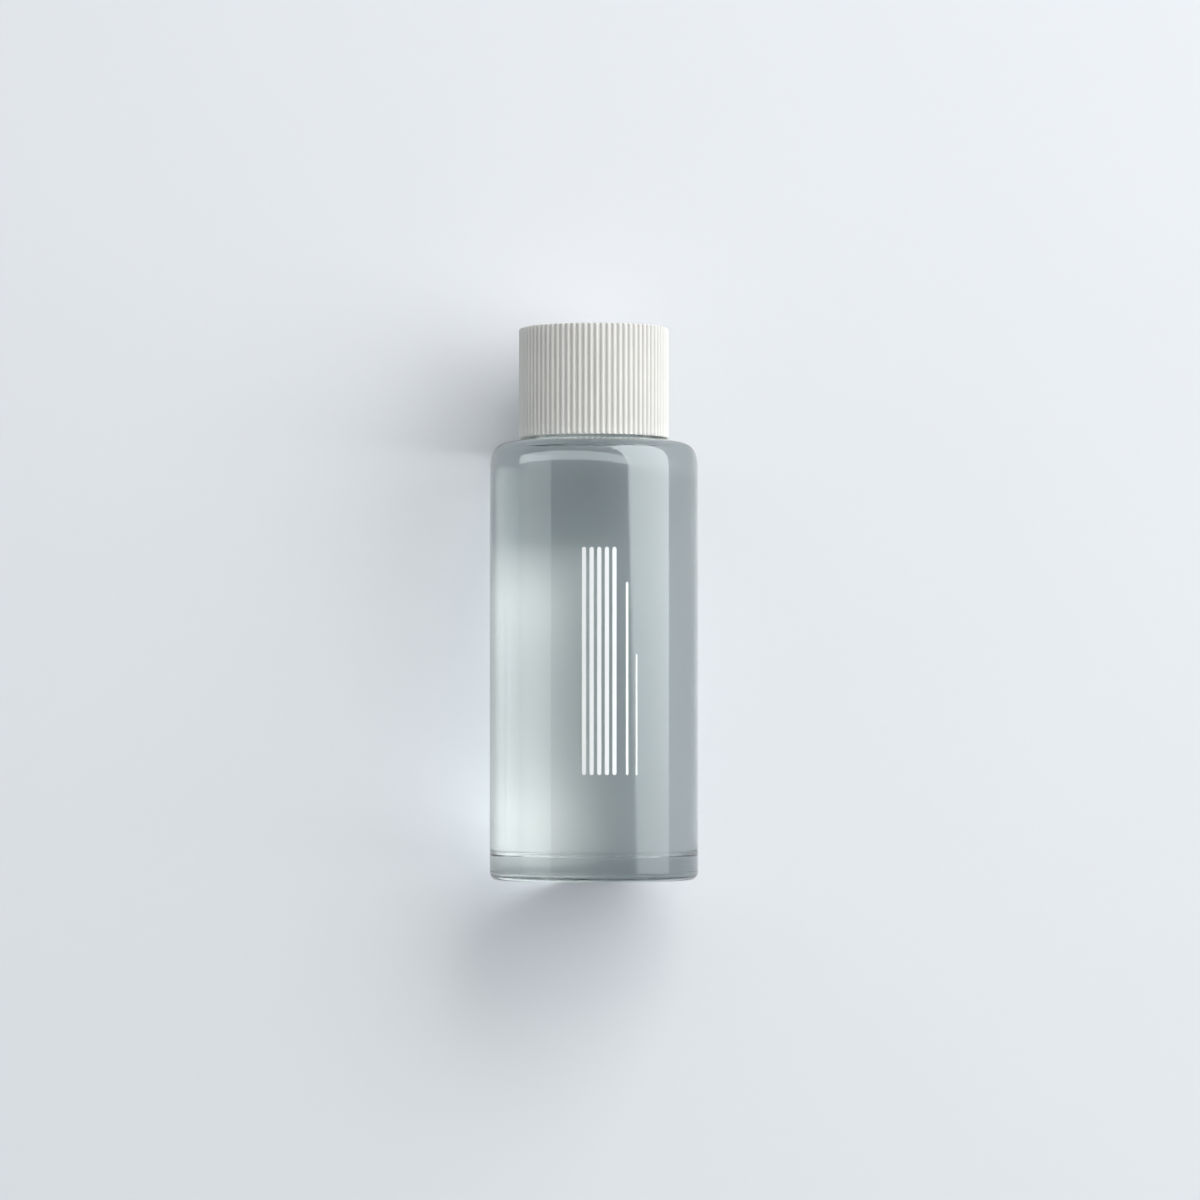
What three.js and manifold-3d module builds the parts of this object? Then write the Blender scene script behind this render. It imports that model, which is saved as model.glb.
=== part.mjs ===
import * as THREE from 'three';
import { mergeVertices } from 'three/addons/utils/BufferGeometryUtils.js';
import Module from 'manifold-3d';

// A clear glass bottle with a ribbed screw cap, standing upright and full of liquid.
// Millimetres, +Z up, with the origin at the middle of the base.

// Glass body
const bodyDiameter = 44;
const sideHeight = 88.3; // from the base up to where the shoulder starts to curve in
const wallThickness = 2.2;
const floorThickness = 5;
const baseEdgeRadius = 1.7;
const standingRingWidth = 4.5; // flat ring that the bottle stands on
const recessDepth = 0.8; // shallow hollow inside that ring
const floorCornerRadius = 3;
const shoulderRadius = 4;
const innerShoulderRadius = 1.8;
const shoulderSlope = THREE.MathUtils.degToRad(12);

// Neck and its rounded screw thread
const neckDiameter = 21.5;
const neckHeight = 17.2; // above the point where the shoulder's slope would meet the neck
const boreDiameter = 16;
const neckFilletRadius = 1.5;
const boreFilletRadius = 1.2;
const lipRadius = 0.8;
const boreLead = 0.6;
const threadPitch = 3.175;
const threadTurns = 1.5;
const threadFlankGap = 0.2; // between the neck's turns and the cap's turns, along the axis
const threadCrestGap = 0.3; // between each thread's crest and the wall that faces it
const threadSink = 0.25; // how deep each round bead is set into its wall
const threadTopDepth = 2.6; // from the top of the neck down to the upper end of its thread

// Liquid
const liquidGap = 0.1;
const fillAboveBoreFoot = 1;

// Pouring plug in the neck
const plugFlangeThickness = 1;
const plugDepth = 8;
const plugWall = 1.2;
const plugFloor = 1.2;
const plugFit = 0.15;
const plugRingHeight = 0.1;
const plugRingWidth = 1;
const plugRingCount = 2;
const plugNoseChamfer = 0.6;
const orificeDiameter = 3.2;

// Cap: a sealing disc, an inner closure with the thread, and a ribbed outer shell
const seatGap = 0.1; // between pieces that press on each other along the axis
const linerThickness = 1;
const linerFit = 0.3;
const innerWall = 1.2;
const innerTop = 1.2;
const innerRecess = 1.5; // how far the inner closure stays above the shell's rim
const shellFit = 0.2;
const shellWall = 1.86; // measured at the bottom of the grooves
const shellTop = 1.8;
const shellEdgeRadius = 0.7;
const snapHeight = 0.35; // bead inside the shell's mouth that holds the inner closure
const rimWidth = 1; // flat underside of the shell, outside the lead-in of its mouth
const ribCount = 80;
const ribDepth = 0.4;
const capGap = 0.45; // between the shoulder and the cap's rim

// Fineness of the round shapes
const roundSegments = 48;
const arcDivisions = 2;
const pointsPerRib = 4;
const shellEdgeDivisions = 1;
const beadDivisions = 4;
const beadStepsPerTurn = 24;
const cutOverrun = 1; // how far the shell's hollow starts below its rim

// Values that follow from the sizes above
const bodyRadius = bodyDiameter / 2;
const neckRadius = neckDiameter / 2;
const boreRadius = boreDiameter / 2;
const rightAngle = Math.PI / 2;
const slopeRise = Math.tan(shoulderSlope);
const slopeSin = Math.sin(shoulderSlope);
const slopeCos = Math.cos(shoulderSlope);

// Height of the outer shoulder's slope at a distance from the axis
function shoulderHeight(radius) {
  const arcEndRadius = bodyRadius - shoulderRadius + shoulderRadius * slopeSin;
  const arcEndHeight = sideHeight + shoulderRadius * slopeCos;
  return arcEndHeight + (arcEndRadius - radius) * slopeRise;
}

// Height of the inner shoulder's slope, which lies one wall and a clearance below the outer one
function innerShoulderHeight(radius, gap) {
  return shoulderHeight(radius) - (wallThickness + gap) / slopeCos;
}

const neckTop = shoulderHeight(neckRadius) + neckHeight;
const flangeBottom = neckTop + seatGap;
const flangeTop = flangeBottom + plugFlangeThickness;
const linerBottom = flangeTop + seatGap;
const linerTop = linerBottom + linerThickness;
const innerCeiling = linerTop + seatGap;
const innerTopHeight = innerCeiling + innerTop;
const shellCeiling = innerTopHeight + seatGap;
const capTop = shellCeiling + shellTop;

const beadRadius = (threadPitch / 2 - threadFlankGap) / 2;
const threadHeight = 2 * beadRadius - threadSink;
const innerBoreRadius = neckRadius + threadHeight + threadCrestGap;
const innerRadius = innerBoreRadius + innerWall;
const shellBoreRadius = innerRadius + shellFit;
const shellRadius = shellBoreRadius + shellWall + ribDepth;
const rimHeight = shoulderHeight(shellRadius) + capGap;
const innerRim = rimHeight + innerRecess;
const boreFootHeight = boreFoot(0).y;

const wasm = await Module();
wasm.setup();

// Joins the vertices that lie together and drops the triangles that this collapses
function weld(geometry) {
  geometry.deleteAttribute('normal');
  geometry.deleteAttribute('uv');
  const welded = mergeVertices(geometry);
  const corners = welded.index.array;
  const kept = [];
  for (let i = 0; i < corners.length; i += 3) {
    const [a, b, c] = corners.slice(i, i + 3);
    if (a !== b && b !== c && c !== a) kept.push(a, b, c);
  }
  welded.setIndex(kept);
  return welded;
}

function toSolid(geometry) {
  const vertProperties = new Float32Array(geometry.attributes.position.array);
  const triVerts = new Uint32Array(geometry.index.array);
  return new wasm.Manifold(new wasm.Mesh({ numProp: 3, vertProperties, triVerts }));
}

function toGeometry(solid) {
  const mesh = solid.getMesh();
  const geometry = new THREE.BufferGeometry();
  geometry.setAttribute('position', new THREE.BufferAttribute(mesh.vertProperties, 3));
  geometry.setIndex(new THREE.BufferAttribute(mesh.triVerts, 1));
  return geometry;
}

// Turns an outline of radius and height about the vertical axis
function turn(outline, segments = roundSegments) {
  const geometry = new THREE.LatheGeometry(outline, segments);
  geometry.rotateX(rightAngle);
  return weld(geometry);
}

function points(path) {
  return path.getPoints(arcDivisions);
}

// Centre of the rounded corner where the bore widens into the shoulder
function boreFoot(gap) {
  const corner = boreFilletRadius + gap;
  const centreRadius = boreRadius - gap + corner;
  const touchRadius = centreRadius - corner * slopeSin;
  const touchHeight = innerShoulderHeight(touchRadius, gap);
  return new THREE.Vector2(centreRadius, touchHeight + corner * slopeCos);
}

// Inner surface of the glass from the bore down to the middle of the floor, set in by a gap
function addInside(path, gap) {
  const foot = boreFoot(gap);
  const wallRadius = bodyRadius - wallThickness - gap;
  const bend = innerShoulderRadius - gap;
  const bendRadius = wallRadius - bend;
  const bendEnd = bendRadius + bend * slopeSin;
  const bendHeight = innerShoulderHeight(bendEnd, gap) - bend * slopeCos;
  const corner = floorCornerRadius - gap;
  const floorHeight = floorThickness + gap;
  path.absarc(foot.x, foot.y, boreFilletRadius + gap, Math.PI, 3 * rightAngle - shoulderSlope, false);
  path.absarc(bendRadius, bendHeight, bend, rightAngle - shoulderSlope, 0, true);
  path.absarc(wallRadius - corner, floorHeight + corner, corner, 0, -rightAngle, true);
  path.lineTo(0, floorHeight);
}

// Round thread bead that climbs to the right, as a tube along a helix
class Helix extends THREE.Curve {
  constructor(radius, lowEnd) {
    super();
    this.radius = radius;
    this.lowEnd = lowEnd;
  }

  getPoint(t, target = new THREE.Vector3()) {
    const angle = 2 * Math.PI * threadTurns * t;
    const height = this.lowEnd + threadPitch * threadTurns * t;
    return target.set(this.radius * Math.cos(angle), this.radius * Math.sin(angle), height);
  }
}

function threadBead(radius, lowEnd) {
  const section = new THREE.Shape();
  section.absarc(0, 0, beadRadius, 0, 2 * Math.PI, false);
  const bead = new THREE.ExtrudeGeometry(section, {
    curveSegments: beadDivisions,
    steps: Math.round(threadTurns * beadStepsPerTurn),
    extrudePath: new Helix(radius, lowEnd),
  });
  return toSolid(weld(bead));
}

const neckThreadLowEnd = neckTop - threadTopDepth - threadPitch * threadTurns;

function glassBottle() {
  const recessRadius = bodyRadius - baseEdgeRadius - standingRingWidth;
  const filletCentre = neckRadius + neckFilletRadius;
  const filletTouch = filletCentre - neckFilletRadius * slopeSin;
  const filletHeight = shoulderHeight(filletTouch) + neckFilletRadius * slopeCos;
  const path = new THREE.Path();
  path.moveTo(0, recessDepth);
  path.lineTo(recessRadius - recessDepth, recessDepth);
  path.lineTo(recessRadius, 0);
  path.absarc(bodyRadius - baseEdgeRadius, baseEdgeRadius, baseEdgeRadius, -rightAngle, 0, false);
  path.absarc(bodyRadius - shoulderRadius, sideHeight, shoulderRadius, 0, rightAngle - shoulderSlope, false);
  path.absarc(filletCentre, filletHeight, neckFilletRadius, 3 * rightAngle - shoulderSlope, Math.PI, true);
  path.absarc(neckRadius - lipRadius, neckTop - lipRadius, lipRadius, 0, rightAngle, false);
  path.lineTo(boreRadius + boreLead, neckTop);
  path.lineTo(boreRadius, neckTop - boreLead);
  addInside(path, 0);
  const beadCentre = neckRadius - threadSink + beadRadius;
  return toGeometry(toSolid(turn(points(path))).add(threadBead(beadCentre, neckThreadLowEnd)));
}

function removerLiquid() {
  const fillHeight = boreFootHeight + fillAboveBoreFoot;
  const path = new THREE.Path();
  path.moveTo(0, fillHeight);
  path.lineTo(boreRadius - liquidGap, fillHeight);
  addInside(path, liquidGap);
  return turn(points(path).reverse());
}

function orificeReducer() {
  const plugRadius = boreRadius - plugFit;
  const wellRadius = plugRadius - plugWall;
  const orificeRadius = orificeDiameter / 2;
  const flangeRadius = neckRadius - lipRadius;
  const bottom = neckTop - plugDepth;
  const path = new THREE.Path();
  path.moveTo(orificeRadius, bottom);
  path.lineTo(plugRadius - plugNoseChamfer, bottom);
  path.lineTo(plugRadius, bottom + plugNoseChamfer);
  const ringSpacing = (plugDepth - boreLead) / (plugRingCount + 1);
  for (let ring = 1; ring <= plugRingCount; ring += 1) {
    const middle = bottom + ring * ringSpacing;
    path.lineTo(plugRadius, middle - plugRingWidth / 2);
    path.lineTo(plugRadius + plugRingHeight, middle);
    path.lineTo(plugRadius, middle + plugRingWidth / 2);
  }
  path.lineTo(plugRadius, flangeBottom);
  path.lineTo(flangeRadius, flangeBottom);
  path.lineTo(flangeRadius, flangeTop);
  path.lineTo(wellRadius + plugFlangeThickness, flangeTop);
  path.lineTo(wellRadius, flangeBottom);
  path.lineTo(wellRadius, bottom + plugFloor);
  path.lineTo(orificeRadius, bottom + plugFloor);
  path.closePath();
  return turn(points(path));
}

function capLiner() {
  const path = new THREE.Path();
  path.moveTo(0, linerBottom);
  path.lineTo(innerBoreRadius - linerFit, linerBottom);
  path.lineTo(innerBoreRadius - linerFit, linerTop);
  path.lineTo(0, linerTop);
  return turn(points(path));
}

function capInner() {
  const path = new THREE.Path();
  path.moveTo(innerBoreRadius, innerRim);
  path.lineTo(innerRadius, innerRim);
  path.lineTo(innerRadius, innerTopHeight);
  path.lineTo(0, innerTopHeight);
  path.lineTo(0, innerCeiling);
  path.lineTo(innerBoreRadius, innerCeiling);
  path.closePath();
  const beadCentre = innerBoreRadius + threadSink - beadRadius;
  const bead = threadBead(beadCentre, neckThreadLowEnd - threadPitch / 2);
  return toGeometry(toSolid(turn(points(path))).add(bead));
}

// Draws the outer surface in between the ribs, each of which is half of an ellipse
function cutGrooves(geometry) {
  const grooveRadius = shellRadius - ribDepth;
  const position = geometry.attributes.position;
  for (let i = 0; i < position.count; i += 1) {
    const x = position.getX(i);
    const y = position.getY(i);
    const radius = Math.hypot(x, y);
    if (radius <= grooveRadius) continue;
    const turnShare = Math.atan2(y, x) / (2 * Math.PI) + 1;
    const acrossRib = 2 * ((turnShare * ribCount) % 1) - 1;
    const ribRadius = grooveRadius + ribDepth * Math.sqrt(Math.max(0, 1 - acrossRib * acrossRib));
    const scale = Math.min(radius, ribRadius) / radius;
    position.setXY(i, x * scale, y * scale);
  }
  return geometry;
}

function capShell() {
  const outside = new THREE.Path();
  outside.moveTo(0, rimHeight);
  outside.lineTo(shellRadius, rimHeight);
  const edgeRadius = shellRadius - shellEdgeRadius;
  outside.absarc(edgeRadius, capTop - shellEdgeRadius, shellEdgeRadius, 0, rightAngle, false);
  outside.lineTo(0, capTop);
  const ribbed = cutGrooves(turn(outside.getPoints(shellEdgeDivisions), ribCount * pointsPerRib));

  const snapFoot = innerRim - seatGap - snapHeight;
  const mouthRadius = shellBoreRadius - snapHeight;
  const hollow = new THREE.Path();
  hollow.moveTo(0, rimHeight - cutOverrun);
  hollow.lineTo(shellRadius - rimWidth, rimHeight - cutOverrun);
  hollow.lineTo(shellRadius - rimWidth, rimHeight);
  hollow.lineTo(mouthRadius, snapFoot);
  hollow.lineTo(shellBoreRadius, snapFoot + snapHeight);
  hollow.lineTo(shellBoreRadius, shellCeiling);
  hollow.lineTo(0, shellCeiling);
  return toGeometry(toSolid(ribbed).subtract(toSolid(turn(points(hollow)))));
}

const clearGlass = new THREE.MeshStandardMaterial({
  color: 0xdde6e5, roughness: 0.05, metalness: 0, transparent: true, opacity: 0.35, flatShading: true,
});
const clearLiquid = new THREE.MeshStandardMaterial({
  color: 0xc4d0d0, roughness: 0.05, metalness: 0, transparent: true, opacity: 0.45, flatShading: true,
});
const softPlastic = new THREE.MeshStandardMaterial({
  color: 0xf0f0ec, roughness: 0.45, metalness: 0, flatShading: true,
});
const foam = new THREE.MeshStandardMaterial({
  color: 0xf4f3ef, roughness: 0.9, metalness: 0, flatShading: true,
});
const innerPlastic = new THREE.MeshStandardMaterial({
  color: 0xe9e7e3, roughness: 0.5, metalness: 0, flatShading: true,
});
const shellPlastic = new THREE.MeshStandardMaterial({
  color: 0xdedbd6, roughness: 0.55, metalness: 0, flatShading: true,
});

function piece(name, geometry, material) {
  const mesh = new THREE.Mesh(geometry, material);
  mesh.name = name;
  return mesh;
}

const cap = new THREE.Group();
cap.add(piece('cap_liner', capLiner(), foam));
cap.add(piece('cap_inner', capInner(), innerPlastic));
cap.add(piece('cap_shell', capShell(), shellPlastic));

const bottle = new THREE.Group();
bottle.add(piece('glass_bottle', glassBottle(), clearGlass));
bottle.add(piece('remover_liquid', removerLiquid(), clearLiquid));
bottle.add(piece('orifice_reducer', orificeReducer(), softPlastic));
bottle.add(cap);

export default bottle;
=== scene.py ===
import math

import bpy
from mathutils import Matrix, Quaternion, Vector


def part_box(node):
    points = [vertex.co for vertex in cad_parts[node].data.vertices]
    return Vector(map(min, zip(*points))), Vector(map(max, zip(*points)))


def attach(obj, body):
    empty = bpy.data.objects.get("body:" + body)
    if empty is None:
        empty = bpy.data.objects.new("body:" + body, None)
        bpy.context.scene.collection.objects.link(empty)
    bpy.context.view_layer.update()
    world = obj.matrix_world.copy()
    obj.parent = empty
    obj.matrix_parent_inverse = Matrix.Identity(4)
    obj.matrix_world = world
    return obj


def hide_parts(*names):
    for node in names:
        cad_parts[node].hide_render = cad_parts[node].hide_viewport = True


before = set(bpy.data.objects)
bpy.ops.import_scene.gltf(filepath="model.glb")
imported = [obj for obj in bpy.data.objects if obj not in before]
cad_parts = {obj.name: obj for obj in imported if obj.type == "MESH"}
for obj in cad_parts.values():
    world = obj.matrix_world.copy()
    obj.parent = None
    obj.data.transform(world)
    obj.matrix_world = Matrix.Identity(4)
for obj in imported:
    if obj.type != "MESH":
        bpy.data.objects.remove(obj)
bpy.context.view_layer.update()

mm = 0.001
sameMm = 1e-4  # points closer than this count as one
print("frame loaded:", sorted(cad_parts))


# small helpers

def hexLinear(text):
    channels = [int(text[i:i + 2], 16) / 255 for i in (0, 2, 4)]
    linear = [c / 12.92 if c <= 0.04045 else ((c + 0.055) / 1.055) ** 2.4 for c in channels]
    return (*linear, 1.0)


def perMetre(sizeMm):
    return 1 / (sizeMm * mm)  # texture scale whose pattern repeats about every sizeMm


def addNode(tree, kind, inputs=None, **settings):
    node = tree.nodes.new(kind)
    for key, value in settings.items():
        setattr(node, key, value)
    for key, value in (inputs or {}).items():
        if isinstance(value, bpy.types.NodeSocket):
            tree.links.new(value, node.inputs[key])
        else:
            node.inputs[key].default_value = value
    return node


def startMaterial(name, **sockets):
    material = bpy.data.materials.new(name)
    material.use_nodes = True
    tree = material.node_tree
    shader = tree.nodes["Principled BSDF"]
    for key, value in sockets.items():
        shader.inputs[key.replace("_", " ")].default_value = value
    place = addNode(tree, "ShaderNodeTexCoord").outputs["Object"]
    return material, tree, shader, place


def arc(centreR, centreZ, radius, startDeg, endDeg, steps):
    angles = [math.radians(startDeg + (endDeg - startDeg) * i / steps) for i in range(steps + 1)]
    return [(centreR + radius * math.cos(a), centreZ + radius * math.sin(a)) for a in angles]


def line(start, end, steps):
    # straight run whose points lie closer together at both ends, so that smooth shading stays there
    shares = [0.5 - 0.5 * math.cos(math.pi * i / steps) for i in range(steps + 1)]
    return [(start[0] + (end[0] - start[0]) * s, start[1] + (end[1] - start[1]) * s) for s in shares]


def tidyOutline(points):
    kept = [points[0]]  # drops points that repeat the one before
    for point in points[1:]:
        if math.dist(point, kept[-1]) > sameMm:
            kept.append(point)
    return kept


def spin(name, outline, columns, warp=None, closed=False):
    # turns an outline of (radius, height) in mm about the axis; a point on the axis becomes one pole
    vertices, faces, rows = [], [], []
    for radius, height in outline:
        if radius < sameMm:
            rows.append([len(vertices)])
            vertices.append((0, 0, height * mm))
            continue
        row = []
        for i in range(columns):
            angle = 2 * math.pi * i / columns
            r, z = warp(radius, height, angle) if warp else (radius, height)
            row.append(len(vertices))
            vertices.append((r * math.cos(angle) * mm, r * math.sin(angle) * mm, z * mm))
        rows.append(row)
    pairs = list(zip(rows, rows[1:]))
    if closed:
        pairs.append((rows[-1], rows[0]))
    for low, high in pairs:
        for i in range(columns):
            j = (i + 1) % columns
            if len(low) == 1:
                faces.append((low[0], high[j], high[i]))
            elif len(high) == 1:
                faces.append((low[i], low[j], high[0]))
            else:
                faces.append((low[i], low[j], high[j], high[i]))
    return meshPiece(name, vertices, faces)


def meshPiece(name, vertices, faces):
    mesh = bpy.data.meshes.new(name)
    mesh.from_pydata(vertices, [], faces)
    mesh.validate()
    piece = bpy.data.objects.new(name, mesh)
    bpy.context.scene.collection.objects.link(piece)
    smoothFaces(mesh)
    return piece


def smoothFaces(mesh, sharpDeg=38):
    mesh.shade_smooth()
    mesh.set_sharp_from_angle(angle=math.radians(sharpDeg))


def seat(piece, body, slot, *nodes):
    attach(piece, body)
    if nodes:
        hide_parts(*nodes)


def nodeSpan(node):
    low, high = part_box(node)
    return high.x / mm, low.z / mm, high.z / mm  # radius, foot and top in mm


# sizes that come from the frame
bodyRadius, _, neckTop = nodeSpan("glass_bottle")
_, fillFoot, fillTop = nodeSpan("remover_liquid")
flangeRadius, plugFoot, flangeTop = nodeSpan("orifice_reducer")
linerRadius, linerFoot, linerTop = nodeSpan("cap_liner")
closureRadius, closureFoot, closureTop = nodeSpan("cap_inner")
_, rimZ, capTop = nodeSpan("cap_shell")


# materials

def makeGlass(name, ior, tintHex):
    # soda-lime glass blown in a polished mould: very clear, glossy, with a faint slow waviness
    material, tree, shader, place = startMaterial(
        name, Transmission_Weight=1.0, IOR=ior,
        Base_Color=hexLinear(tintHex), Specular_Tint=hexLinear("eef8f8"))
    smudge = addNode(tree, "ShaderNodeTexNoise", {"Vector": place, "Scale": perMetre(14), "Detail": 3.0})
    rough = addNode(tree, "ShaderNodeMapRange", {
        "Value": smudge.outputs["Fac"], "From Min": 0.45, "From Max": 0.8, "To Min": 0.0, "To Max": 0.03})
    tree.links.new(rough.outputs["Result"], shader.inputs["Roughness"])
    wave = addNode(tree, "ShaderNodeTexNoise", {"Vector": place, "Scale": perMetre(11), "Detail": 1.0})
    bump = addNode(tree, "ShaderNodeBump", {
        "Height": wave.outputs["Fac"], "Strength": 0.12, "Distance": 0.1 * mm})
    tree.links.new(bump.outputs["Normal"], shader.inputs["Normal"])
    return material


def addDepth(material, tintHex, baseTintAndShadeHex):
    # faint grey-green where light goes far through the bottle
    # the wetted faces don't end this volume, so the liquid has the same tone
    tree = material.node_tree
    depth = addNode(tree, "ShaderNodeVolumeAbsorption", {"Color": hexLinear("8eb1b3"), "Density": 4.8})
    tree.links.new(depth.outputs["Volume"], tree.nodes["Material Output"].inputs["Volume"])
    # the base is glass from side to side, so its tone is a little deeper than round the liquid; the darker
    # tint below the liquid is also painted shade, standing in for the shadow seen through the base
    floorFade = 0.8  # mm below the liquid
    place = addNode(tree, "ShaderNodeTexCoord").outputs["Object"]
    height = addNode(tree, "ShaderNodeSeparateXYZ", {"Vector": place}).outputs["Z"]
    above = addNode(tree, "ShaderNodeMapRange", {
        "Value": height, "From Min": (fillFoot - floorFade) * mm, "From Max": fillFoot * mm})
    tone = addNode(tree, "ShaderNodeMix", {
        "Factor": above.outputs["Result"], "A": hexLinear(baseTintAndShadeHex), "B": hexLinear(tintHex)},
        data_type="RGBA")
    tree.links.new(tone.outputs["Result"], tree.nodes["Principled BSDF"].inputs["Base Color"])


def makeLiquid(name, ior):
    # clear solvent: no surface of its own against wet glass
    material, tree, shader, place = startMaterial(
        name, Transmission_Weight=1.0, IOR=ior, Roughness=0.0)
    haze = addNode(tree, "ShaderNodeTexNoise", {"Vector": place, "Scale": perMetre(30), "Detail": 2.0})
    tint = addNode(tree, "ShaderNodeMix", {
        "Factor": haze.outputs["Fac"], "A": hexLinear("fbfdfd"), "B": hexLinear("ffffff")},
        data_type="RGBA")
    tree.links.new(tint.outputs["Result"], shader.inputs["Base Color"])
    return material


def makePlastic(name, paleHex, deepHex, rough, grainMm, grainStrength, **sockets):
    # moulded plastic: soft cloudy tone from the flow of the melt, and a fine even grain from the mould
    glossSpread = 0.06
    material, tree, shader, place = startMaterial(name, **sockets)
    flow = addNode(tree, "ShaderNodeTexNoise", {"Vector": place, "Scale": perMetre(9), "Detail": 4.0})
    tone = addNode(tree, "ShaderNodeMix", {
        "Factor": flow.outputs["Fac"], "A": hexLinear(deepHex), "B": hexLinear(paleHex)}, data_type="RGBA")
    tree.links.new(tone.outputs["Result"], shader.inputs["Base Color"])
    grain = addNode(tree, "ShaderNodeTexNoise", {
        "Vector": place, "Scale": perMetre(grainMm), "Detail": 2.0})
    gloss = addNode(tree, "ShaderNodeMapRange", {
        "Value": grain.outputs["Fac"], "To Min": rough - glossSpread, "To Max": rough + glossSpread})
    tree.links.new(gloss.outputs["Result"], shader.inputs["Roughness"])
    bump = addNode(tree, "ShaderNodeBump", {
        "Height": grain.outputs["Fac"], "Strength": grainStrength, "Distance": 0.05 * mm})
    tree.links.new(bump.outputs["Normal"], shader.inputs["Normal"])
    return material


glassIor, liquidIor = 1.52, 1.42
glassHex = "fdfdfd"
glassOuter = makeGlass("soda-lime glass, mould blown", glassIor, glassHex)
# e9ecec darkens the glass of the base: partly its own deeper tint, partly painted shade
addDepth(glassOuter, glassHex, "e9ecec")
glassWet = makeGlass("soda-lime glass, wetted inside", glassIor / liquidIor, "fcfdfc")
liquidBody = makeLiquid("clear solvent, against the glass", 1.0)
liquidTop = makeLiquid("clear solvent, free surface", liquidIor)
shellPlastic = makePlastic("polypropylene, moulded with a fine matt grain", "dbdad7", "d1d0cd",
                           0.5, 0.35, 0.25, Specular_IOR_Level=0.25)
closurePlastic = makePlastic("polypropylene, moulded smooth", "ebe9e5", "e2e0db", 0.38, 0.5, 0.1)
plugPlastic = makePlastic("low density polyethylene, moulded", "f3f3ef", "e8e9e5", 0.42, 0.6, 0.1,
                          Subsurface_Weight=0.25, Subsurface_Scale=0.002)
linerFoam = makePlastic("polyethylene foam, die cut", "f4f3ef", "dedcd6", 0.85, 0.4, 0.9)
whiteInk = makePlastic("white ink, screen printed", "f8fafa", "eef1f1", 0.45, 0.25, 0.2,
                       Specular_IOR_Level=0.2)
print("materials made")


# glass bottle

bottle = {
    "columns": 288,           # four to each mark under the base
    "edgeRadius": 1.7,
    "ringWidth": 4.5,
    "recessDepth": 0.8,
    "domeRings": 12,
    "marks": 72,              # shallow grip marks under the standing ring
    "markDepth": 0.12,
    "sideHeight": 88.3,
    "shoulderRadius": 4.0,
    "roundStart": 86.6,       # the real rounding leaves the side a little lower and more gently than an arc
    "roundPower": 2.5,
    "slopeDeg": 12.0,
    "wall": 2.2,
    "floor": 5.0,
    "floorCorner": 1.6,
    "floorUneven": 0.18,      # the floor of blown glass is never quite flat
    "floorWaves": [(2, 0.7, 1.0), (3, 2.1, 0.6)],  # count round the axis, start angle, share of the height
    "innerShoulder": 1.8,
    "neckRadius": 10.75,
    "neckFillet": 1.5,
    "lipRadius": 0.8,
    "boreRadius": 8.0,
    "boreFillet": 1.2,
    "boreLead": 0.6,
    "threadPitch": 3.175,
    "threadTurns": 1.5,
    "threadTop": 2.6,         # from the lip down to the thread's upper end
    "threadHeight": 1.14,
    "threadHalfWidth": 0.82,
    "threadFadeDeg": 30.0,
    "seamHeight": 0.03,       # faint mould seams on both sides, fading out towards the roundings
    "seamWidth": 0.7,
}

slope = math.radians(bottle["slopeDeg"])


def shoulderZ(radius):
    # height of the sloping shoulder at a radius
    ends = bodyRadius - bottle["shoulderRadius"] * (1 - math.sin(slope))
    foot = bottle["sideHeight"] + bottle["shoulderRadius"] * math.cos(slope)
    return foot + (ends - radius) * math.tan(slope)


def outsideRounding(steps):
    # from the straight side up to the sloping shoulder, where it ends along the slope
    power, reach = bottle["roundPower"], bottle["shoulderRadius"]
    twin = power / (power - 1)
    lean = reach * math.tan(slope)
    rise = shoulderZ(bodyRadius - reach) - bottle["roundStart"]
    height = (rise ** twin - lean ** twin) ** (1 / twin)
    end = math.acos((lean / rise) ** (twin / 2))
    points = []
    for i in range(steps + 1):
        turn = end * i / steps
        inward = reach * (1 - math.cos(turn) ** (2 / power))
        points.append((bodyRadius - inward, bottle["roundStart"] + height * math.sin(turn) ** (2 / power)))
    return points


def insideOutline(gap):
    # inner face of the glass from the foot of the bore down to the middle of the floor
    drop = (bottle["wall"] + gap) / math.cos(slope)
    fillet = bottle["boreFillet"] + gap
    footR = bottle["boreRadius"] - gap + fillet
    footZ = shoulderZ(footR - fillet * math.sin(slope)) - drop + fillet * math.cos(slope)
    wallR = bodyRadius - bottle["wall"] - gap
    bend = bottle["innerShoulder"] - gap
    bendR = wallR - bend
    bendZ = shoulderZ(bendR + bend * math.sin(slope)) - drop - bend * math.cos(slope)
    corner = bottle["floorCorner"] - gap
    floorZ = bottle["floor"] + gap
    down = arc(footR, footZ, fillet, 180, 270 - bottle["slopeDeg"], 10)
    down += arc(bendR, bendZ, bend, 90 - bottle["slopeDeg"], 0, 12)
    wallEnd = (wallR, floorZ + corner)
    down += line(down[-1], wallEnd, 40)
    down += arc(wallR - corner, floorZ + corner, corner, 0, -90, 12)
    down += line(down[-1], (0, floorZ), 14)
    return tidyOutline(down)


def threadLift(angle, height):
    # how far the thread stands out at one place on the neck
    lowEnd = neckTop - bottle["threadTop"] - bottle["threadPitch"] * bottle["threadTurns"]
    fade = math.radians(bottle["threadFadeDeg"])
    length = 2 * math.pi * bottle["threadTurns"]
    lift = 0.0
    for turn in range(math.ceil(bottle["threadTurns"])):
        along = angle + 2 * math.pi * turn
        if along > length:
            continue
        rise = bottle["threadPitch"] * along / (2 * math.pi)
        across = (height - lowEnd - rise) / bottle["threadHalfWidth"]
        if abs(across) >= 1:
            continue
        ends = min(1.0, along / fade, (length - along) / fade)
        section = (1 - across ** 4) ** 0.8  # broad crest with rounded flanks
        lift = max(lift, bottle["threadHeight"] * math.sqrt(ends) * section)
    return lift


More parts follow.
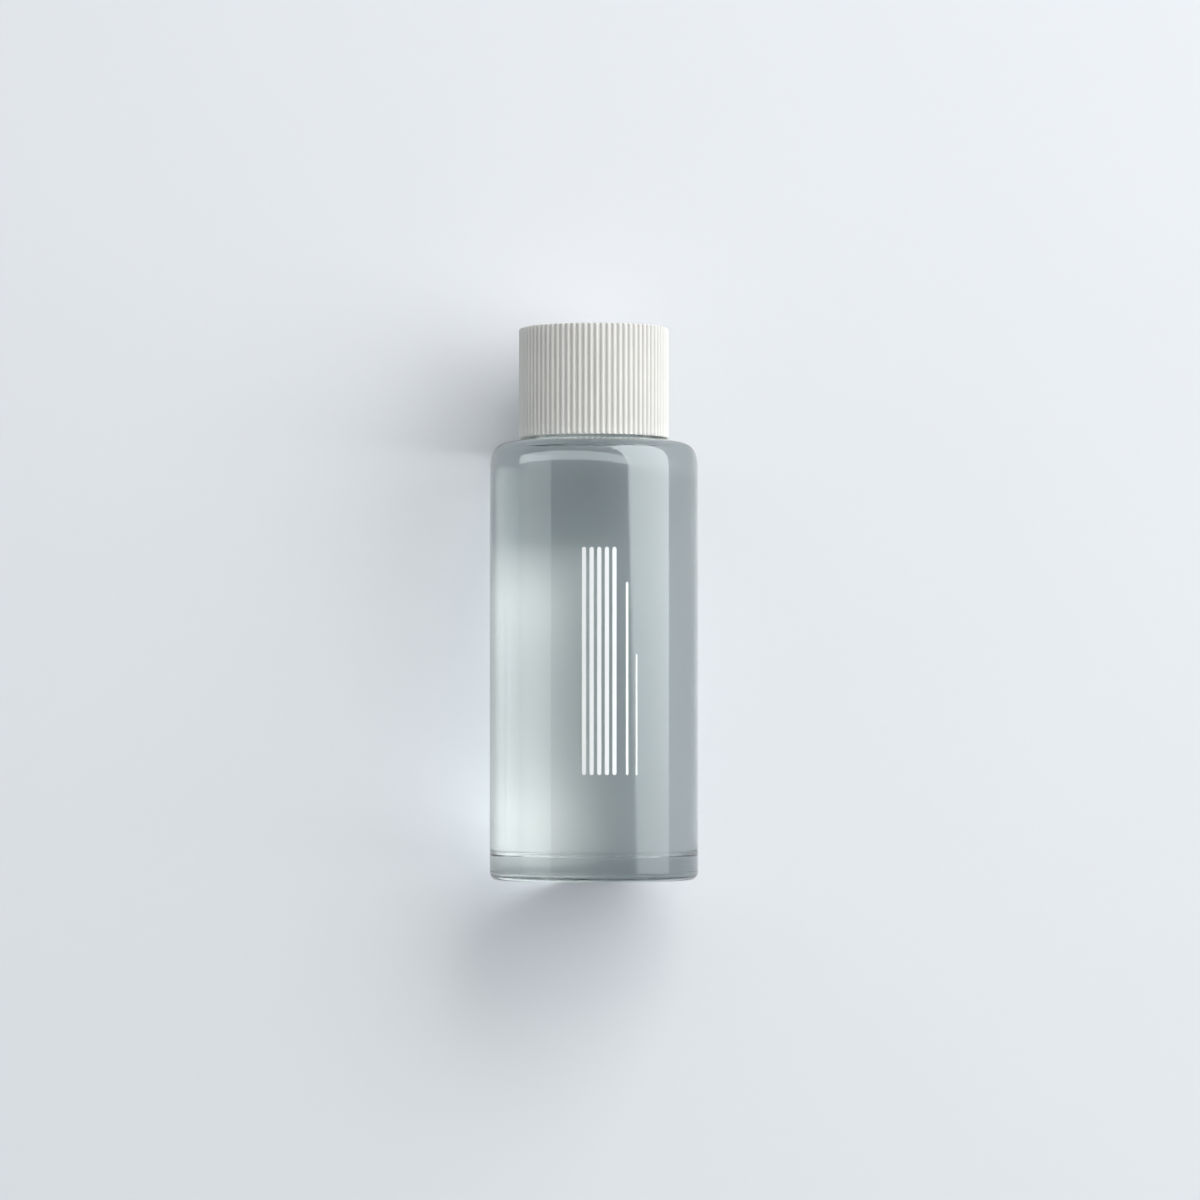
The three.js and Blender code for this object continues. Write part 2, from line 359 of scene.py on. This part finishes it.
def makeGlassBottle():
    outer = bodyRadius
    recessR = outer - bottle["edgeRadius"] - bottle["ringWidth"]
    ringEnd = outer - bottle["edgeRadius"]
    lip = bottle["lipRadius"]
    fillet = bottle["neckFillet"]
    filletR = bottle["neckRadius"] + fillet
    filletZ = shoulderZ(filletR - fillet * math.sin(slope)) + fillet * math.cos(slope)
    boreR, lead = bottle["boreRadius"], bottle["boreLead"]
    up = [(0, bottle["recessDepth"])]
    for i in range(bottle["domeRings"]):  # soft dome under the base
        share = (i + 1) / bottle["domeRings"]
        up.append((recessR * share, bottle["recessDepth"] * (1 - share ** 4)))
    up += line(up[-1], (ringEnd, 0), 8)
    up += arc(ringEnd, bottle["edgeRadius"], bottle["edgeRadius"], -90, 0, 12)
    up += line((outer, bottle["edgeRadius"]), (outer, bottle["roundStart"]), 40)
    up += outsideRounding(24)
    up += arc(filletR, filletZ, fillet, 270 - bottle["slopeDeg"], 180, 8)
    up += line(up[-1], (bottle["neckRadius"], neckTop - lip), 78)
    up += arc(bottle["neckRadius"] - lip, neckTop - lip, lip, 0, 90, 6)
    up += [(boreR + lead, neckTop), (boreR, neckTop - lead)]
    down = insideOutline(0)
    up = tidyOutline(up + line(up[-1], down[0], 10))

    def shape(radius, height, angle):
        if height < sameMm and recessR - sameMm < radius < ringEnd + sameMm:
            inRing = math.sin(math.pi * (radius - recessR) / (ringEnd - recessR))
            return radius, bottle["markDepth"] * inRing * (0.5 - 0.5 * math.cos(bottle["marks"] * angle))
        if abs(radius - bottle["neckRadius"]) < sameMm and height > filletZ:
            return radius + threadLift(angle, height), height
        if abs(radius - outer) < sameMm:
            across = outer * math.sin(angle) / bottle["seamWidth"]
            along = (height - bottle["edgeRadius"]) / (bottle["roundStart"] - bottle["edgeRadius"])
            fade = max(0.0, math.sin(math.pi * along)) ** 0.5
            return radius + bottle["seamHeight"] * math.exp(-across * across) * fade, height
        if abs(height - bottle["floor"]) < sameMm:
            reach = 1 - (radius / (outer - bottle["wall"])) ** 2
            wavy = 0.0
            for count, start, share in bottle["floorWaves"]:
                wavy += share * math.sin(count * angle + start)
            return radius, height + bottle["floorUneven"] * reach * (1 + wavy * radius / outer)
        return radius, height

    piece = spin("bottleGlass", tidyOutline(up + down), bottle["columns"], shape)
    piece.data.materials.append(glassOuter)
    piece.data.materials.append(glassWet)
    wetStart = (len(up) - 2) * bottle["columns"]  # the lowest ring of the bore and all below it
    for face in piece.data.polygons[wetStart:]:  # faces that the liquid touches bend light less
        face.material_index = 1
    seat(piece, "bottle", "clear_glass", "glass_bottle")
    print("glass bottle:", len(piece.data.polygons), "faces")


makeGlassBottle()


# liquid

liquid = {
    "gap": fillFoot - bottle["floor"],  # thin film gap that the CAD solids keep
    "meniscusHeight": 0.7,
    "topRings": 12,
    "columns": 144,
}


def makeLiquidFill():
    top = []
    bore = bottle["boreRadius"] - liquid["gap"]
    for i in range(liquid["topRings"] + 1):  # the surface climbs where it meets the glass
        share = i / liquid["topRings"]
        top.append((bore * share, fillTop - liquid["meniscusHeight"] * (1 - share ** 6)))
    outline = tidyOutline(top + insideOutline(liquid["gap"]))
    piece = spin("removerFill", outline[::-1], liquid["columns"])
    piece.data.materials.append(liquidBody)
    piece.data.materials.append(liquidTop)
    topStart = (len(outline) - 1 - liquid["topRings"]) * liquid["columns"]
    for face in piece.data.polygons[topStart:]:
        face.material_index = 1
    seat(piece, "bottle", "clear_liquid", "remover_liquid")
    print("liquid:", len(piece.data.polygons), "faces")


makeLiquidFill()


# pouring plug

plug = {
    "fit": 0.15,
    "wall": 1.2,
    "floor": 1.2,
    "flange": 1.0,
    "noseChamfer": 0.6,
    "rings": 2,
    "ringHeight": 0.1,
    "ringWidth": 1.0,
    "ringSteps": 4,
    "orificeRadius": 1.6,
    "edge": 0.25,
    "columns": 144,
}


def makePlug():
    outer = bottle["boreRadius"] - plug["fit"]
    well = outer - plug["wall"]
    hole, edge = plug["orificeRadius"], plug["edge"]
    flangeZ = flangeTop - plug["flange"]
    floorZ = plugFoot + plug["floor"]
    nose = plug["noseChamfer"]
    path = [(hole + edge, plugFoot), (outer - nose, plugFoot), (outer, plugFoot + nose)]
    spacing = (neckTop - plugFoot - bottle["boreLead"]) / (plug["rings"] + 1)
    for ring in range(1, plug["rings"] + 1):  # soft rings that grip the bore
        middle = plugFoot + ring * spacing
        for i in range(2 * plug["ringSteps"] + 1):
            share = i / plug["ringSteps"] - 1
            bulge = plug["ringHeight"] * (1 - share * share)
            path.append((outer + bulge, middle + share * plug["ringWidth"] / 2))
    path += [(outer, flangeZ), (flangeRadius - edge, flangeZ)]
    path += arc(flangeRadius - edge, flangeZ + edge, edge, -90, 0, 4)
    path += arc(flangeRadius - edge, flangeTop - edge, edge, 0, 90, 4)
    path += arc(well + plug["flange"], flangeTop - plug["flange"], plug["flange"], 90, 180, 8)  # rolled lip
    path += line((well, flangeZ), (well, floorZ + edge), 4)
    path += arc(well - edge, floorZ + edge, edge, 0, -90, 4)
    path += arc(hole + edge, floorZ - edge, edge, 90, 180, 4)
    path += arc(hole + edge, plugFoot + edge, edge, 180, 270, 4)
    piece = spin("pouringPlug", tidyOutline(path)[:-1], plug["columns"], closed=True)
    piece.data.materials.append(plugPlastic)
    seat(piece, "bottle", "soft_plastic", "orifice_reducer")
    print("plug:", len(piece.data.polygons), "faces")


makePlug()


# sealing liner

liner = {
    "edge": 0.15,
    "markDepth": 0.12,     # the ring that the plug's flange presses into the foam
    "rings": 40,
    "columns": 120,
}


def makeLiner():
    edge = liner["edge"]
    outer = [(0, linerFoot)]
    for i in range(liner["rings"]):
        radius = (linerRadius - edge) * (i + 1) / liner["rings"]
        pressed = 1 if bottle["boreRadius"] < radius < flangeRadius else 0
        outer.append((radius, linerFoot + liner["markDepth"] * pressed))
    outer += arc(linerRadius - edge, linerFoot + edge, edge, -90, 0, 4)
    outer += arc(linerRadius - edge, linerTop - edge, edge, 0, 90, 4)
    outer.append((0, linerTop))
    piece = spin("foamLiner", tidyOutline(outer), liner["columns"])
    piece.data.materials.append(linerFoam)
    seat(piece, "liner", "liner_foam", "cap_liner")
    print("liner:", len(piece.data.polygons), "faces")


makeLiner()


# inner closure with the screw thread

closure = {
    "wall": 1.2,
    "top": 1.2,
    "edge": 0.3,
    "poleShare": 0.2,         # the flat ceiling is one ring of long faces out to here
    "cornerStep": 0.1,
    "plainTop": 0.5,          # no thread this close to the ceiling
    "threadHeight": 1.14,
    "columns": 192,
}


def makeClosure():
    bore, edge = closureRadius - closure["wall"], closure["edge"]
    ceiling = closureTop - closure["top"]
    path = [(0, ceiling)] + line((bore * closure["poleShare"], ceiling), (bore, ceiling), 4)
    path += line((bore, ceiling - closure["cornerStep"]), (bore, closureFoot + edge), 90)
    path += arc(bore + edge, closureFoot + edge, edge, 180, 270, 4)
    path += arc(closureRadius - edge, closureFoot + edge, edge, -90, 0, 4)
    path += arc(closureRadius - edge, closureTop - edge, edge, 0, 90, 4)
    path.append((0, closureTop))
    halfPitch = bottle["threadPitch"] / 2

    def shape(radius, height, angle):
        if abs(radius - bore) < sameMm and closureFoot + 2 * edge < height < ceiling - closure["plainTop"]:
            share = closure["threadHeight"] / bottle["threadHeight"]
            return radius - share * threadLift(angle, height + halfPitch), height
        return radius, height

    piece = spin("innerClosure", tidyOutline(path), closure["columns"], shape)
    piece.data.materials.append(closurePlastic)
    seat(piece, "cap", "inner_plastic", "cap_inner")
    print("inner closure:", len(piece.data.polygons), "faces")


makeClosure()


# ribbed outer shell

shell = {
    "ribs": 80,
    "ribDepth": 0.48,
    "ribColumns": 16,
    "grooveShare": 0.3,       # flat part of the pitch at the bottom of each groove
    "wall": 2.26,             # from the hollow to the crests
    "hollowGap": 0.2,         # room round the inner closure
    "topGap": 0.1,
    "edge": 0.5,              # rounding where the ribs run out at the top
    "rimEdge": 0.25,
    "rimWidth": 1.0,
    "snap": 0.35,
    "gateRadius": 1.1,        # small moulding gate in the middle of the top
    "gateSurround": 2.2,
    "gateFloorShare": 0.85,
    "gateDepth": 0.15,
    "weld": 0.002,
    "sharpDeg": 50,
}


def ribSection(share):
    # height of a rib across its pitch, from 0 in the groove to 1 on the crest
    across = abs(share) * 2 / (1 - shell["grooveShare"])
    return math.sqrt(max(0.0, 1 - across * across)) if across < 1 else 0.0


def makeRibSector():
    # one rib with its slice of the top, the rim and the hollow
    boreR, ceiling = closureRadius + shell["hollowGap"], closureTop + shell["topGap"]
    shellR = boreR + shell["wall"]
    grooveR = shellR - shell["ribDepth"]
    mouthR, snapZ = boreR - shell["snap"], closureFoot - shell["topGap"] - shell["snap"]
    edge, rimEdge = shell["edge"], shell["rimEdge"]
    path = [(0, ceiling), (boreR, ceiling), (boreR, snapZ + shell["snap"]), (mouthR, snapZ)]
    path += [(shellR - shell["rimWidth"], rimZ)]
    path += arc(shellR - rimEdge, rimZ + rimEdge, rimEdge, -90, 0, 4)
    path += line((shellR, rimZ + rimEdge), (shellR, capTop - edge), 6)
    path += arc(shellR - edge, capTop - edge, edge, 0, 90, 10)
    gateR, gateZ = shell["gateRadius"], capTop - shell["gateDepth"]
    path += [(shell["gateSurround"], capTop), (gateR, capTop)]
    path += [(gateR * shell["gateFloorShare"], gateZ), (0, gateZ)]
    path = tidyOutline(path)
    vertices, faces, rows = [], [], []
    pitch = 2 * math.pi / shell["ribs"]
    for radius, height in path:
        row = []
        for i in range(shell["ribColumns"] + 1):
            share = i / shell["ribColumns"] - 0.5
            limit = grooveR + shell["ribDepth"] * ribSection(share)
            r = min(radius, limit) if radius > grooveR else radius
            angle = (share + 0.5) * pitch
            row.append(len(vertices))
            vertices.append((r * math.cos(angle) * mm, r * math.sin(angle) * mm, height * mm))
            if radius == 0:
                row = row * (shell["ribColumns"] + 1)
                break
        rows.append(row)
    for low, high in zip(rows, rows[1:]):
        for i in range(shell["ribColumns"]):
            corners = [low[i], low[i + 1], high[i + 1], high[i]]
            faces.append(tuple(dict.fromkeys(corners)))
    return meshPiece("ribbedShell", vertices, faces)


def ribRingTree():
    # sets copies of the rib sector round the axis and welds them to one shell
    tree = bpy.data.node_groups.new("rib ring", "GeometryNodeTree")
    socket = tree.interface.new_socket
    socket("Rib sector", in_out="INPUT", socket_type="NodeSocketGeometry")
    ribCount = socket("Rib count", in_out="INPUT", socket_type="NodeSocketInt")
    weld = socket("Weld distance", in_out="INPUT", socket_type="NodeSocketFloat")
    finish = socket("Shell plastic", in_out="INPUT", socket_type="NodeSocketMaterial")
    socket("Shell", in_out="OUTPUT", socket_type="NodeSocketGeometry")
    source = addNode(tree, "NodeGroupInput").outputs
    index = addNode(tree, "GeometryNodeInputIndex").outputs["Index"]
    step = addNode(tree, "ShaderNodeMath", {0: 2 * math.pi, 1: source["Rib count"]}, operation="DIVIDE")
    angle = addNode(tree, "ShaderNodeMath", {0: index, 1: step.outputs["Value"]}, operation="MULTIPLY")
    turn = addNode(tree, "ShaderNodeCombineXYZ", {"Z": angle.outputs["Value"]})
    spots = addNode(tree, "GeometryNodePoints", {"Count": source["Rib count"]})
    ring = addNode(tree, "GeometryNodeInstanceOnPoints", {
        "Points": spots.outputs[0], "Instance": source["Rib sector"], "Rotation": turn.outputs["Vector"]})
    real = addNode(tree, "GeometryNodeRealizeInstances", {"Geometry": ring.outputs["Instances"]})
    joined = addNode(tree, "GeometryNodeMergeByDistance", {
        "Geometry": real.outputs["Geometry"], "Distance": source["Weld distance"]})
    painted = addNode(tree, "GeometryNodeSetMaterial", {
        "Geometry": joined.outputs["Geometry"], "Material": source["Shell plastic"]})
    addNode(tree, "NodeGroupOutput", {"Shell": painted.outputs["Geometry"]})
    return tree, ribCount.identifier, weld.identifier, finish.identifier


def makeShell():
    piece = makeRibSector()
    piece.data.materials.append(shellPlastic)
    tree, ribCount, weld, finish = ribRingTree()
    ring = piece.modifiers.new("rib ring", "NODES")
    ring.node_group = tree
    ring[ribCount] = shell["ribs"]
    ring[weld] = shell["weld"] * mm
    ring[finish] = shellPlastic
    evaluated = piece.evaluated_get(bpy.context.evaluated_depsgraph_get())
    mesh = bpy.data.meshes.new_from_object(evaluated)
    piece.modifiers.clear()
    piece.data = mesh
    smoothFaces(mesh, shell["sharpDeg"])
    seat(piece, "cap", "shell_plastic", "cap_shell")
    print("ribbed shell:", len(mesh.polygons), "faces")


makeShell()


# stripe print on the front of the glass

stripes = {
    "middleDeg": 3.0,        # turned a little to the right of the front
    "foot": 22.2,
    "top": 69.4,
    "block": 7.2,            # width of the striped block
    "count": 5,
    "stripeWidth": 0.86,
    "thinLines": [(2.0, 0.55, 40.0), (4.2, 0.35, 25.0)],  # gap from the block, width, length
    "inkLift": 0.012,
    "inkThickness": 0.02,
}


def makeStripe(vertices, faces, centre, width, foot, top):
    # a thin strip of ink with round ends, bent round the glass
    half = width / 2
    outline = arc(centre, top - half, half, 0, 180, 10) + arc(centre, foot + half, half, 180, 360, 10)
    low = bodyRadius + stripes["inkLift"]
    start = len(vertices)
    for radius in (low, low + stripes["inkThickness"]):
        for across, height in outline:
            angle = across / bodyRadius - math.pi / 2
            vertices.append((radius * math.cos(angle) * mm, radius * math.sin(angle) * mm, height * mm))
    count = len(outline)
    faces.append(tuple(range(start + count, start + 2 * count)))
    faces.append(tuple(range(start + count - 1, start - 1, -1)))
    for i in range(count):
        j = (i + 1) % count
        faces.append((start + i, start + j, start + count + j, start + count + i))


def makePrint():
    vertices, faces = [], []
    middle = math.radians(stripes["middleDeg"]) * bodyRadius
    left = middle - stripes["block"] / 2
    spacing = (stripes["block"] - stripes["stripeWidth"]) / (stripes["count"] - 1)
    for i in range(stripes["count"]):
        centre = left + stripes["stripeWidth"] / 2 + i * spacing
        makeStripe(vertices, faces, centre, stripes["stripeWidth"], stripes["foot"], stripes["top"])
    for gap, width, length in stripes["thinLines"]:
        centre = middle + stripes["block"] / 2 + gap + width / 2
        makeStripe(vertices, faces, centre, width, stripes["foot"], stripes["foot"] + length)
    piece = meshPiece("stripePrint", vertices, faces)
    piece.data.materials.append(whiteInk)
    seat(piece, "bottle", "soft_plastic")
    print("print:", len(piece.data.polygons), "faces")


makePrint()


# pale surface behind the bottle, lamps, world and camera

studio = {
    "surfaceGap": 0.1,            # mm between the glass and the surface
    "surfaceSize": 3.0,           # metres
    "surfaceHex": "e8ebf0",
    "surfaceDeepHex": "e6e9ee",
    "backdropHex": "e8ecf0",
    "backdropStrength": 0.9,
    "mirroredStrength": 0.3,
    "fillHex": "dfe4e6",
    "fillStrength": 0.56,
    "cameraDistance": 1.03,
    "cameraHeight": 0.0275,
    "cameraSide": 0.0013,
    "focalPixels": 4874.0,
    "framePixels": 1200.0,
    "tiltPixels": 149.4,          # how far the level line lies below the middle of the picture
}

# soft panels, placed in degrees right of and above the camera's side, sizes in metres
# the soft edges are shares of the panel's own width and height
lampPanels = {
    "key panel": {
        "rightDeg": 62, "upDeg": 23.5, "rollDeg": 7, "distance": 1.5, "width": 2.3, "height": 2.6,
        "radiance": 1.85, "softLeft": 0.12, "softLow": 0.15},
    "high panel": {
        "rightDeg": 13.5, "upDeg": 40, "rollDeg": -6, "distance": 1.5, "width": 0.42, "height": 0.7,
        "radiance": 2.9, "softLeft": 0.1, "softLow": 0.1, "hex": "fff5eb"},
}
mirrorCards = {
    "right card": {
        "rightDeg": 66.5, "upDeg": 25, "distance": 1.5, "width": 1.8, "height": 2.2,
        "radiance": 5.5, "softLeft": 0.13, "softLow": 0.3, "slant": 1.42, "cut": 0.31},
    "left card": {
        "rightDeg": -72, "upDeg": 4, "distance": 1.5, "width": 1.35, "height": 0.85,
        "radiance": 1.4, "softLeft": 0.5, "softLow": 0.05},
    "long card": {
        "rightDeg": -29, "upDeg": 21.5, "distance": 1.0, "width": 4.6, "height": 0.46,
        "radiance": 3.2, "softLeft": 0.18, "softLow": 0.15},
}


def makeSurface():
    half = studio["surfaceSize"] / 2
    y = bodyRadius * mm + studio["surfaceGap"] * mm
    corners = [(-half, y, -half), (half, y, -half), (half, y, half), (-half, y, half)]
    surface = meshPiece("paleSurface", corners, [(0, 1, 2, 3)])
    # painted board: even and matt; it shows only from the front, so it never hides the bottle's back
    material, tree, shader, place = startMaterial("painted board, rolled matt", Roughness=0.9)
    roll = addNode(tree, "ShaderNodeTexNoise", {"Vector": place, "Scale": perMetre(60), "Detail": 3.0})
    tone = addNode(tree, "ShaderNodeMix", {
        "Factor": roll.outputs["Fac"],
        "A": hexLinear(studio["surfaceDeepHex"]), "B": hexLinear(studio["surfaceHex"])},
        data_type="RGBA")
    tree.links.new(tone.outputs["Result"], shader.inputs["Base Color"])
    side = addNode(tree, "ShaderNodeNewGeometry").outputs["Backfacing"]
    clear = addNode(tree, "ShaderNodeBsdfTransparent").outputs["BSDF"]
    mix = addNode(tree, "ShaderNodeMixShader", {0: side, 1: shader.outputs["BSDF"], 2: clear})
    tree.links.new(mix.outputs["Shader"], tree.nodes["Material Output"].inputs["Surface"])
    surface.data.materials.append(material)


def makePanel(name, panel, mirrored):
    # a soft panel that faces the bottle; the lamps light matt surfaces and the cards show in gloss
    right, up = math.radians(panel["rightDeg"]), math.radians(panel["upDeg"])
    away = Vector((math.sin(right) * math.cos(up), -math.cos(right) * math.cos(up), math.sin(up)))
    light = bpy.data.lights.new(name, "AREA")
    light.shape = "RECTANGLE"
    light.size, light.size_y = panel["width"], panel["height"]
    light.energy = 4 * panel["width"] * panel["height"] * panel["radiance"]  # watts that give this radiance
    light.color = hexLinear(panel.get("hex", "ffffff"))[:3]
    light.use_nodes = True
    tree = light.node_tree
    spot = addNode(tree, "ShaderNodeNewGeometry").outputs["Parametric"]
    axes = addNode(tree, "ShaderNodeSeparateXYZ", {"Vector": spot}).outputs
    leaning = addNode(tree, "ShaderNodeMath", {
        0: axes["Y"], 1: panel.get("slant", 0.0), 2: axes["X"]}, operation="MULTIPLY_ADD").outputs["Value"]
    cut = panel.get("cut", 0.0)  # where the left edge starts; a slant leans it over to the left
    sideways = addNode(tree, "ShaderNodeMapRange", {
        "Value": leaning, "From Min": cut, "From Max": cut + panel["softLeft"]},
        interpolation_type="SMOOTHSTEP").outputs["Result"]
    upwards = addNode(tree, "ShaderNodeMapRange", {
        "Value": axes["Y"], "From Max": panel["softLow"]},
        interpolation_type="SMOOTHSTEP").outputs["Result"]
    level = addNode(tree, "ShaderNodeMath", {0: sideways, 1: upwards}, operation="MULTIPLY")
    tree.links.new(level.outputs["Value"], tree.nodes["Emission"].inputs["Strength"])
    lamp = bpy.data.objects.new(name, light)
    lamp.location = Vector((0, 0, capTop * mm / 2)) + panel["distance"] * away
    roll = Quaternion((0, 0, 1), math.radians(panel.get("rollDeg", 0)))
    lamp.rotation_euler = (away.to_track_quat("Z", "Y") @ roll).to_euler()
    lamp.visible_camera = False
    lamp.visible_glossy = mirrored
    lamp.visible_diffuse = not mirrored
    lamp.visible_transmission = not mirrored
    bpy.context.scene.collection.objects.link(lamp)


def makeWorld():
    # pale where it is seen, also through glass, darker in reflections, and only a fill on matt surfaces
    world = bpy.data.worlds.new("studio room")
    bpy.context.scene.world = world
    world.use_nodes = True
    tree = world.node_tree
    path = addNode(tree, "ShaderNodeLightPath").outputs
    bounced = path["Diffuse Depth"]
    shown = addNode(tree, "ShaderNodeMapRange", {
        "Value": path["Is Glossy Ray"],
        "To Min": studio["backdropStrength"], "To Max": studio["mirroredStrength"]})
    strength = addNode(tree, "ShaderNodeMapRange", {
        "Value": bounced, "To Min": shown.outputs["Result"], "To Max": studio["fillStrength"]})
    colour = addNode(tree, "ShaderNodeMix", {
        "Factor": bounced, "A": hexLinear(studio["backdropHex"]), "B": hexLinear(studio["fillHex"])},
        data_type="RGBA")
    background = tree.nodes["Background"]
    tree.links.new(colour.outputs["Result"], background.inputs["Color"])
    tree.links.new(strength.outputs["Result"], background.inputs["Strength"])


def makeCamera():
    data = bpy.data.cameras.new("photo camera")
    data.sensor_fit = "HORIZONTAL"
    data.lens = data.sensor_width * studio["focalPixels"] / studio["framePixels"]
    data.clip_start = 0.01
    camera = bpy.data.objects.new("photo camera", data)
    camera.location = (studio["cameraSide"], -studio["cameraDistance"], studio["cameraHeight"])
    tilt = math.atan(studio["tiltPixels"] / studio["focalPixels"])
    camera.rotation_euler = (math.pi / 2 + tilt, 0, 0)
    bpy.context.scene.collection.objects.link(camera)
    bpy.context.scene.camera = camera


makeSurface()
for panelName, panel in lampPanels.items():
    makePanel(panelName, panel, False)
for cardName, card in mirrorCards.items():
    makePanel(cardName, card, True)
makeWorld()
makeCamera()
bpy.context.scene.view_settings.view_transform = "Standard"
cycles = bpy.context.scene.cycles
cycles.blur_glossy = 0.0  # so that the full bottle focuses the lamps' light as the real one does
cycles.max_bounces = 24  # each crossing of the bottle takes six
cycles.transmission_bounces = 24
print("studio made")
